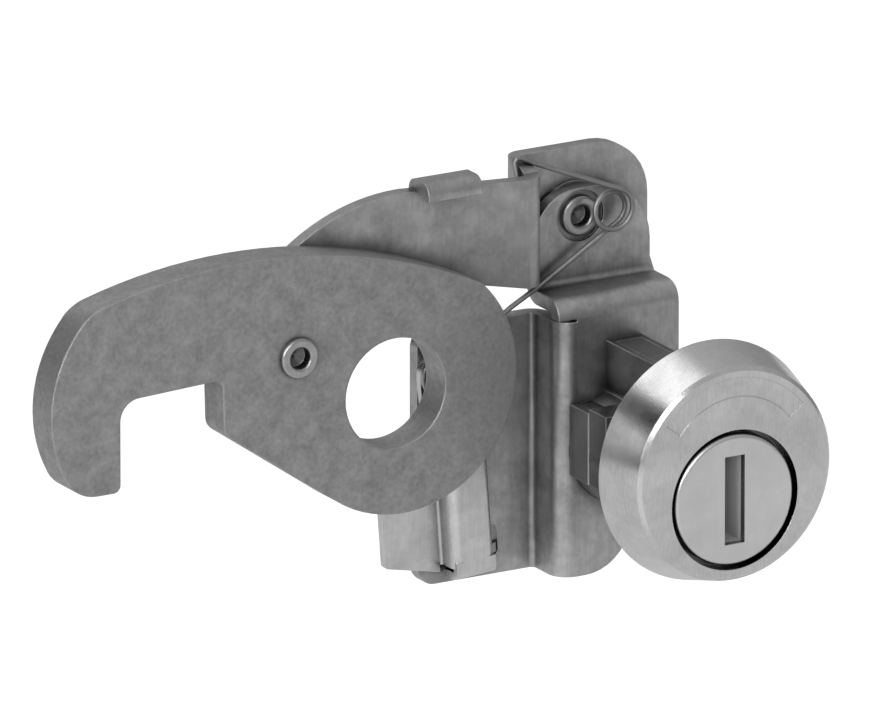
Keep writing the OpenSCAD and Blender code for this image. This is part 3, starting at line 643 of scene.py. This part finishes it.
@dataclass
class Wire:
    """A round wire along a path.

    Args:
        name: Name of the piece.
        path: Points of its centre line, in millimetres.
        radius: Radius of the wire, in millimetres.
        sides: Sides of its section.
        steps: Stretches that the way between two points of the path is divided into.
        tip_reach: How far the rounded tips reach past the path, in radii.
        tip_size: Size of the tips, in radii.
    """

    name: str
    path: Sequence[Point]
    radius: float
    sides: int = 14
    steps: int = 4
    tip_reach: float = 0.25
    tip_size: float = 0.75

    def _smooth(self) -> list[Vector]:
        """Returns a curve through the path's points, along the mean direction at each."""
        pts = [Vector(p) for p in self.path]
        pts = [pts[0] * 2 - pts[1], *pts, pts[-1] * 2 - pts[-2]]
        line: list[Vector] = []
        for a, b, c, d in zip(pts, pts[1:], pts[2:], pts[3:]):
            span = (c - b).length
            leaving = ((c - b) / span + (b - a) / (b - a).length) * span / 2
            arriving = ((c - b) / span + (d - c) / (d - c).length) * span / 2
            for k in range(self.steps):
                t = k / self.steps
                line.append(
                    b * (2 * t**3 - 3 * t**2 + 1)
                    + leaving * (t**3 - 2 * t**2 + t)
                    + c * (3 * t**2 - 2 * t**3)
                    + arriving * (t**3 - t**2)
                )
        line.append(pts[-2])
        return line

    def _rings(self) -> list[tuple[Vector, Vector, float]]:
        """Returns each ring's centre, direction and relative size, with a tip at each end."""
        line = self._smooth()
        rings: list[tuple[Vector, Vector, float]] = []
        for i, centre in enumerate(line):
            along = (line[min(i + 1, len(line) - 1)] - line[max(i - 1, 0)]).normalized()
            rings.append((centre, along, 1.0))
        reach = self.radius * self.tip_reach
        (first, start, _), (last, end, _) = rings[0], rings[-1]
        return [
            (first - start * reach, start, self.tip_size),
            *rings,
            (last + end * reach, end, self.tip_size),
        ]

    def _skin(self, rings: int) -> list[list[int]]:
        """Returns the faces between so many rings, and one on each end."""
        sides = self.sides
        faces: list[list[int]] = []
        for i in range(rings - 1):
            for k in range(sides):
                a, b = i * sides + k, i * sides + (k + 1) % sides
                faces.append([a, b, b + sides, a + sides])
        faces.append(list(range(sides))[::-1])
        faces.append(list(range((rings - 1) * sides, rings * sides)))
        return faces

    def build(self) -> bpy.types.Object:
        """Returns the wire as one closed mesh."""
        rings = self._rings()
        side = rings[0][1].orthogonal().normalized()
        points: list[Vector] = []
        for centre, along, size in rings:
            side = (side - along * side.dot(along)).normalized()
            up = along.cross(side)
            for k in range(self.sides):
                angle = math.tau * k / self.sides
                outward = side * math.cos(angle) + up * math.sin(angle)
                points.append((centre + outward * self.radius * size) * MM)
        return mesh_object(self.name, points, self._skin(len(rings)))


@dataclass(frozen=True)
class LeverSpringSizes:
    """Sizes of the lever's spring and its seats, in millimetres and degrees, as in the CAD source.

    Args:
        wire: Diameter of the wire.
        coil_x: Place of the coil's axis across the lock.
        coil_z: Height of the coil's axis.
        front: Depth at which the coil starts.
        mean: Mean radius of the coil.
        opening: How much wider the coil starts.
        closing: Turn over which it closes in.
        pitch: Advance of one turn.
        upper: Angle at which the upper leg leaves the coil.
        lower: Angle at which the lower leg leaves it.
        sheet: Thickness of the lever's and the bracket's sheet.
        bend: Outside radius of the sheet's bends.
        base_y: Front of the bracket's sheet.
        ear_gap: Gap between the bracket's ear and the lever's.
        lever_step: Depth from the lever's ear to its front plate.
        web_x: Right face of the lever's web.
        front_top: Height of the web's top edge in front.
        web_rise: How far that edge rises towards the ear.
        web_run: Depth over which it rises.
        plate_top: Height of the left plate's top edge.
        shelf_z: Height of the shelf over the pad.
        wall_x: Left face of the bracket's upright wall.
        over: How far in front of the bracket the upper leg crosses the web.
        aside: Clearance of the wire's bent ends.
        lift: Clearance of the upper leg over the web.
        seat: Clearance of the lower leg on the left plate.
    """

    wire: float = 0.55
    coil_x: float = 0.4
    coil_z: float = 20.8
    front: float = 18.4
    mean: float = 1.9
    opening: float = 0.5
    closing: float = 200.0
    pitch: float = 1.1
    upper: float = 68.6
    lower: float = -54.0
    sheet: float = 1.5
    bend: float = 2.1
    base_y: float = 21.1
    ear_gap: float = 0.3
    lever_step: float = 5.4
    web_x: float = -8.0
    front_top: float = 26.0
    web_rise: float = 0.9
    web_run: float = 1.7
    plate_top: float = 10.8
    shelf_z: float = 13.2
    wall_x: float = -7.5
    over: float = 0.2
    aside: float = 0.05
    lift: float = 0.3
    seat: float = 0.02


@dataclass
class LeverSpring:
    """The lever's torsion spring: a hooked upper leg, a coil and a lower leg over the left plate.

    Attributes:
        UPPER_HOOK: Bends of the upper leg's hook, from the wire's crest beside the web.
        LOWER_BEND: Where the lower leg leaves the wall, from the bracket's front and the shelf.
        LOWER_REST: Its stretch on the left plate, from the wall and the bracket's front.
        LOWER_HOOK: Its bent end, from the wall and the bracket's back.
        LEG_POINTS: Points between the coil and the bends of a leg.
        REST_POINTS: Points between the lower leg's bend and the left plate.
    """

    UPPER_HOOK = (
        (0.0, -0.5, -1.9),
        (0.0, -0.2, -1.1),
        (0.0, 0.0, -0.4),
        (0.15, 0.0, -0.1),
        (0.45, 0.0, 0.0),
    )
    LOWER_BEND = (0.1, -0.8, 0.48)
    LOWER_REST = ((-3.4, 0.35, 0.0), (-3.8, 0.6, 0.0))
    LOWER_HOOK = ((-4.6, -0.4, 0.0), (-4.85, -0.1, -0.05), (-4.95, 0.0, -0.3), (-4.95, 0.0, -1.5))
    LEG_POINTS = 6
    REST_POINTS = 3

    sizes: LeverSpringSizes = LeverSpringSizes()

    def coil(self, turned: float) -> Point:
        """Returns the coil's point after so many degrees."""
        s = self.sizes
        angle = math.radians(s.upper - turned)
        radius = s.mean + s.opening * max(0.0, 1 - turned / s.closing) ** 2
        return (
            s.coil_x + radius * math.cos(angle),
            s.front + s.pitch * turned / 360,
            s.coil_z + radius * math.sin(angle),
        )

    @staticmethod
    def shifted(base: Point, offsets: Sequence[Point]) -> list[Point]:
        """Returns the points that stand at the offsets from a base."""
        return [tuple(b + o for b, o in zip(base, offset)) for offset in offsets]

    @staticmethod
    def between(start: Point, end: Point, count: int) -> list[Point]:
        """Returns points on the straight way between two points, without these."""
        a, b = Vector(start), Vector(end)
        return [tuple(a.lerp(b, k / (count + 1))) for k in range(1, count + 1)]

    def path(self) -> list[Point]:
        """Returns the wire's centre line."""
        s = self.sizes
        r = s.wire / 2
        side = s.web_x - s.sheet - r - s.aside
        over = s.base_y - s.over
        front_y = s.base_y + s.sheet + s.ear_gap - s.lever_step
        web_top = s.front_top + s.web_rise * (over - front_y - s.bend) / s.web_run
        rest = s.plate_top + r + s.seat
        behind = s.base_y + s.sheet + r + s.aside
        sweep = 360 + s.upper - s.lower
        count = round(STEPS_PER_TURN * sweep / 360)

        upper = self.shifted((side, over, web_top + r + s.lift), self.UPPER_HOOK)
        coil = [self.coil(sweep * k / count) for k in range(count + 1)]
        (bend,) = self.shifted((s.wall_x, s.base_y, s.shelf_z), [self.LOWER_BEND])
        lower = self.shifted((s.wall_x, s.base_y, rest), self.LOWER_REST)
        hook = self.shifted((s.wall_x, behind, rest), self.LOWER_HOOK)
        return [
            *upper,
            *self.between(upper[-1], coil[0], self.LEG_POINTS),
            *coil,
            *self.between(coil[-1], bend, self.LEG_POINTS),
            bend,
            *self.between(bend, lower[0], self.REST_POINTS),
            *lower,
            *hook,
        ]

    def build(self, metals: Metals) -> bpy.types.Object:
        """Makes the spring between the lever and the bracket, in place of the CAD's spring."""
        piece = Wire("lever_spring_wire", self.path(), self.sizes.wire / 2).build()
        piece.data.materials.append(metals.get(WIRE))
        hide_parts("torsion_spring")
        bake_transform(piece)
        return piece


class GeometryRig:
    """Builds pieces that repeat with geometry nodes, and leaves plain meshes behind.

    Args:
        metals: Where the materials come from.
    """

    def __init__(self, metals: Metals) -> None:
        self.metals = metals

    @staticmethod
    def row(
        net: NodeTree, source: Socket, count: int, step: Point, start: Point = (0, 0, 0)
    ) -> bpy.types.Node:
        """Adds the nodes that repeat a source along a line.

        Args:
            net: The tree to add to.
            source: What is repeated.
            count: How often.
            step: From one to the next, in metres.
            start: Where the first stands, in metres.

        Returns:
            The node that makes the copies.
        """
        line = net.add(
            "GeometryNodeMeshLine", in_Count=count, in_Start_Location=start, in_Offset=step
        )
        return net.add(
            "GeometryNodeInstanceOnPoints", in_Points=line.outputs[0], in_Instance=source
        )

    def apply(
        self,
        name: str,
        source: bpy.types.Object,
        fill: Callable[[NodeTree, Socket], Socket],
        finish: Finish,
    ) -> bpy.types.Object:
        """Runs a geometry node tree on an object and keeps its mesh.

        Args:
            name: Name of the piece to make.
            source: The object that the tree reads; it is removed at the end.
            fill: Adds the tree's nodes between the source's geometry and the result.
            finish: Finish of the piece.

        Returns:
            The piece, as a plain mesh with no modifier.
        """
        group = bpy.data.node_groups.new(f"{name}_nodes", "GeometryNodeTree")
        for in_out in ("INPUT", "OUTPUT"):
            group.interface.new_socket("Geometry", in_out=in_out, socket_type="NodeSocketGeometry")
        net = NodeTree(group)
        copies = fill(net, net.add("NodeGroupInput").outputs[0])
        realize = net.add("GeometryNodeRealizeInstances", in_Geometry=copies)
        paint = net.add(
            "GeometryNodeSetMaterial",
            in_Geometry=realize.outputs[0],
            in_Material=self.metals.get(finish),
        )
        net.feed(net.add("NodeGroupOutput").inputs[0], paint.outputs[0])
        source.modifiers.new("repeat", "NODES").node_group = group
        depsgraph = bpy.context.evaluated_depsgraph_get()
        mesh = bpy.data.meshes.new_from_object(source.evaluated_get(depsgraph), depsgraph=depsgraph)
        mesh.name = name
        mesh.shade_smooth()
        bpy.data.objects.remove(source)
        piece = bpy.data.objects.new(name, mesh)
        bpy.context.scene.collection.objects.link(piece)
        return piece


@dataclass(frozen=True)
class PinSprings:
    """The springs over the driver pins, all alike, in millimetres as in the CAD source.

    Args:
        count: How many there are.
        first: Depth of the first.
        pitch: From one to the next.
        wire: Diameter of the wire.
        turns: Turns of each.
        radius: Mean radius of each.
        low: Height of the driver pins' tops.
        high: Height of the strip that closes the chambers.
        clear: Clearance at both ends.
        sides: Sides of the wire's section.
    """

    count: int = 5
    first: float = 2.2
    pitch: float = 2.9
    wire: float = 0.22
    turns: int = 2
    radius: float = 0.83
    low: float = 4.98
    high: float = 7.6
    clear: float = 0.01
    sides: int = 8

    def path(self) -> list[Point]:
        """Returns one spring's centre line, straight at both ends for a wire's width."""
        low, high = self.low + self.wire, self.high - self.wire
        count = STEPS_PER_TURN * self.turns
        line: list[Point] = [(self.radius, 0, self.low + self.clear), (self.radius, 0, low)]
        for k in range(1, count):
            angle = math.tau * k / STEPS_PER_TURN
            height = low + (high - low) * k / count
            line.append((self.radius * math.cos(angle), self.radius * math.sin(angle), height))
        return line + [(self.radius, 0, high), (self.radius, 0, self.high - self.clear)]

    def build(self, rig: GeometryRig) -> bpy.types.Object:
        """Winds one spring and repeats it along the chambers."""
        source = Wire("pin_spring", self.path(), self.wire / 2, sides=self.sides, steps=1).build()

        def fill(net: NodeTree, geometry: Socket) -> Socket:
            """Repeats the spring along the chambers."""
            step, start = (0, self.pitch * MM, 0), (0, self.first * MM, 0)
            return rig.row(net, geometry, self.count, step, start).outputs[0]

        piece = rig.apply("pin_spring_wires", source, fill, WIRE)
        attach(piece, Body.ROOT.value)
        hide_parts("pin_springs")
        return piece


@dataclass(frozen=True)
class ToothWasher:
    """The toothed washer under the cam's screw, in millimetres.

    Args:
        teeth: How many teeth it has.
        hole: Radius of its hole.
        rim: Radius of its rim.
        tip: Radius of the teeth's tips.
        foot_share: Width of a tooth's foot, as a share of its sector.
        tip_share: Width of a tooth's tip, as a share of its sector.
        front: Depth of its front.
        thick: Thickness of its sheet.
        twist: How far a tip's corners are twisted out of the sheet.
        plug_z: Height of the plug's axis.
    """

    teeth: int = 12
    hole: float = 1.4
    rim: float = 2.75
    tip: float = 3.55
    foot_share: float = 0.55
    tip_share: float = 0.45
    front: float = 24.38
    thick: float = 0.34
    twist: float = 0.05
    plug_z: float = -2.7

    def outline(self) -> list[tuple[float, float]]:
        """Returns a sector's corners, as radius and angle: along the hole, back over the tooth."""
        half = math.pi / self.teeth
        outer = [
            (self.rim, half),
            (self.rim, half * self.foot_share),
            (self.tip, half * self.tip_share),
        ]
        return [
            *((self.hole, half * share) for share in (-1.0, -0.5, 0.0, 0.5, 1.0)),
            *outer,
            *((radius, -angle) for radius, angle in reversed(outer)),
        ]

    def sector(self) -> bpy.types.Object:
        """Makes one sector of the washer, about the world's Y axis."""
        outline = self.outline()
        points: list[Vector] = []
        for back in (0.0, self.thick):
            for radius, angle in outline:
                lean = math.copysign(self.twist, angle) if radius == self.tip else 0.0
                depth = self.front + back + lean
                corner = Vector((radius * math.cos(angle), depth, radius * math.sin(angle)))
                points.append(corner * MM)
        n = len(outline)
        faces = [list(range(n)), list(range(2 * n - 1, n - 1, -1))]
        faces += [[k, k + n, (k + 1) % n + n, (k + 1) % n] for k in range(n)]
        return mesh_object("washer_sector", points, faces)

    def build(self, rig: GeometryRig) -> bpy.types.Object:
        """Turns one sector round the plug's axis."""

        def fill(net: NodeTree, geometry: Socket) -> Socket:
            """Turns the sector's copies and moves them to the plug's axis."""
            index = net.add("GeometryNodeInputIndex").outputs[0]
            angle = net.math("MULTIPLY", index, math.tau / self.teeth)
            copies = rig.row(net, geometry, self.teeth, step=(0, 0, 0))
            spin = net.add("ShaderNodeCombineXYZ", in_Y=angle).outputs[0]
            net.feed(copies.inputs["Rotation"], spin)
            move = net.add(
                "GeometryNodeTransform",
                in_Geometry=copies.outputs[0],
                in_Translation=(0, 0, self.plug_z * MM),
            )
            return move.outputs[0]

        piece = rig.apply("cam_tooth_washer", self.sector(), fill, BRIGHT)
        for polygon in piece.data.polygons:
            polygon.use_smooth = False
        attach(piece, Body.PLUG.value)
        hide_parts("cam_washer")
        return piece


@dataclass(frozen=True)
class Lamp:
    """One square soft light.

    Args:
        name: Name of the light.
        place: Where it stands, in metres.
        size: Length of its sides, in metres.
        power: Power, in watts.
    """

    name: str
    place: Point
    size: float
    power: float

    def hang(self, aim: Point) -> None:
        """Adds the light, turned to a point."""
        data = bpy.data.lights.new(self.name, "AREA")
        data.size, data.energy = self.size, self.power
        lamp = bpy.data.objects.new(self.name, data)
        turn = (Vector(aim) - Vector(self.place)).to_track_quat("-Z", "Y")
        lamp.matrix_world = Matrix.Translation(self.place) @ turn.to_matrix().to_4x4()
        bpy.context.scene.collection.objects.link(lamp)


@dataclass(frozen=True)
class Studio:
    """Camera, light and floor.

    Args:
        azimuth: Turn of the camera from the front, negative to the left, in degrees.
        elevation: Height of the camera, in degrees.
        scale: Pixels of the photograph's frame per millimetre.
        zero: Pixel of the frame's origin.
        frame_px: Width and height of the photograph's frame, in pixels.
        distance: Distance of the camera, in metres.
        sensor_mm: Width of the camera's sensor.
        clip: Nearest and farthest that the camera sees, in metres.
        lamps: The soft lights.
        lamp_aim: Where they point to, in metres.
        room_greys: Greys of the mirrored room, from its bottom at 0 to its top at 1.
        room_strength: Brightness of the mirrored room.
        card_towards: Direction of the dark card that the head's side mirrors.
        card_half_angle: Half the card's width, in degrees.
        card_soft: Half the width of the card's soft edge, in degrees.
        floor_z: Height of the floor, in metres.
        floor_reach: Half the width of the floor, in metres.
        floor_grey: Grey of the floor, linear.
        floor_rough: Roughness of the floor.
        floor_glow: Light that the floor gives off, which keeps its shadows pale.
        floor_in_metal: Brightness of the floor as polished metal mirrors it.
        sheen: How much brighter the mirrored floor is at the left of the front.
        sheen_towards: Direction in which it is brightest.
        sheen_span: Cosines to that direction where the sheen starts and is full.
    """

    azimuth: float = -30.0
    elevation: float = 17.4
    scale: float = 10.0
    zero: tuple[float, float] = (704.5, 458.4)
    frame_px: tuple[int, int] = (869, 721)
    distance: float = 3.0
    sensor_mm: float = 36.0
    clip: tuple[float, float] = (0.5, 20.0)
    lamps: tuple[Lamp, ...] = (
        Lamp("top_light", (-0.10, 0.22, 0.50), 0.34, 0.32),
        Lamp("left_light", (-0.55, -0.25, 0.25), 0.30, 1.4),
        Lamp("front_light", (-0.30, -0.60, 0.40), 0.35, 1.2),
    )
    lamp_aim: Point = (-0.02, 0.01, 0.005)
    room_greys: tuple[tuple[float, float], ...] = (
        (0.0, 0.25),
        (0.5, 0.28),
        (0.68, 0.38),
        (1.0, 0.6),
    )
    room_strength: float = 0.9
    card_towards: Point = (-0.735, 0.595, 0.323)
    card_half_angle: float = 25.0
    card_soft: float = 8.0
    floor_z: float = -0.060
    floor_reach: float = 1.5
    floor_grey: float = 0.93
    floor_rough: float = 0.9
    floor_glow: float = 0.55
    floor_in_metal: float = 0.60
    sheen: float = 0.18
    sheen_towards: Point = (-0.87, -0.5, 0.0)
    sheen_span: tuple[float, float] = (0.45, 0.95)

    def axes(self) -> tuple[Vector, Vector, Vector]:
        """Returns the camera's right, up and back vectors."""
        a, e = math.radians(self.azimuth), math.radians(self.elevation)
        back = Vector((math.sin(a) * math.cos(e), -math.cos(a) * math.cos(e), math.sin(e)))
        right = Vector((math.cos(a), math.sin(a), 0))
        return right, back.cross(right), back

    def camera(self) -> None:
        """Adds the long-lens camera at the photograph's angle."""
        right, up, back = self.axes()
        width, height = self.frame_px
        middle = (
            right * (width / 2 - self.zero[0]) / self.scale * MM
            + up * (self.zero[1] - height / 2) / self.scale * MM
        )
        data = bpy.data.cameras.new("camera")
        data.sensor_width = self.sensor_mm
        data.lens = self.sensor_mm * self.distance / (width / self.scale * MM)
        data.clip_start, data.clip_end = self.clip
        camera = bpy.data.objects.new("camera", data)
        place = Matrix.Translation(middle + back * self.distance)
        camera.matrix_world = place @ Matrix((right, up, back)).transposed().to_4x4()
        bpy.context.scene.collection.objects.link(camera)
        bpy.context.scene.camera = camera

    def world(self) -> None:
        """Sets white behind the object, and a grey room with a dark card for its reflections."""
        world = bpy.data.worlds.new("studio")
        bpy.context.scene.world = world
        net = NodeTree.emptied(world)
        towards = net.add("ShaderNodeTexCoord").outputs["Generated"]
        height = net.ranged(net.along("Z", towards), (-1.0, 1.0))
        ramp = net.add("ShaderNodeValToRGB", in_Fac=height)
        stops = ramp.color_ramp.elements
        for position, level in self.room_greys:
            ready = [stop for stop in stops if stop.position == position]
            stop = ready[0] if ready else stops.new(position)
            stop.color = grey(level)

        facing = net.dot(towards, Vector(self.card_towards).normalized())
        outer, inner = self.card_half_angle + self.card_soft, self.card_half_angle - self.card_soft
        span = (math.cos(math.radians(outer)), math.cos(math.radians(inner)))
        card = net.ranged(facing, span, (1.0, 0.0), smooth=True)
        shaded = net.scaled(ramp.outputs["Color"], card)

        room = net.add("ShaderNodeBackground", in_Color=shaded, in_Strength=self.room_strength)
        white = net.add("ShaderNodeBackground", in_Color=WHITE, in_Strength=1.0)
        seen = net.split_rays("Is Camera Ray", room.outputs[0], white.outputs[0])
        net.add("ShaderNodeOutputWorld", in_Surface=seen)

    def floor_material(self) -> bpy.types.Material:
        """Makes the floor's material, with its own brightness where metal mirrors it."""
        material = bpy.data.materials.new("pale_floor")
        net = NodeTree.emptied(material)
        pale = net.add(
            "ShaderNodeBsdfPrincipled",
            in_Base_Color=grey(self.floor_grey),
            in_Roughness=self.floor_rough,
            in_Emission_Color=WHITE,
            in_Emission_Strength=self.floor_glow,
        )
        outward = net.add("ShaderNodeVectorMath", operation="NORMALIZE")
        net.feed(outward.inputs[0], net.place())
        leftward = net.dot(outward.outputs[0], self.sheen_towards)
        levels = (self.floor_in_metal, self.floor_in_metal + self.sheen)
        sheen = net.ranged(leftward, self.sheen_span, levels, smooth=True)
        mirrored = net.add("ShaderNodeEmission", in_Color=WHITE, in_Strength=sheen)
        seen = net.split_rays("Is Glossy Ray", pale.outputs[0], mirrored.outputs[0])
        net.add("ShaderNodeOutputMaterial", in_Surface=seen)
        return material

    def floor(self) -> None:
        """Adds the pale floor under the object."""
        corners = [
            Vector((x * self.floor_reach, y * self.floor_reach, self.floor_z))
            for x, y in ((-1, -1), (1, -1), (1, 1), (-1, 1))
        ]
        floor = mesh_object("floor", corners, [[0, 1, 2, 3]])
        floor.data.materials.append(self.floor_material())

    def build(self) -> None:
        """Makes the whole studio."""
        self.camera()
        for lamp in self.lamps:
            lamp.hang(self.lamp_aim)
        self.world()
        self.floor()
        bpy.context.scene.view_settings.view_transform = "Standard"


def main() -> None:
    """Dresses the CAD model and sets up its studio."""
    logging.basicConfig(level=logging.INFO, format="%(name)s: %(message)s")
    Studio().build()
    metals = Metals()
    dress_cad(metals)
    LeverSpring().build(metals)
    rig = GeometryRig(metals)
    PinSprings().build(rig)
    ToothWasher().build(rig)


if __name__ == "__main__":
    main()
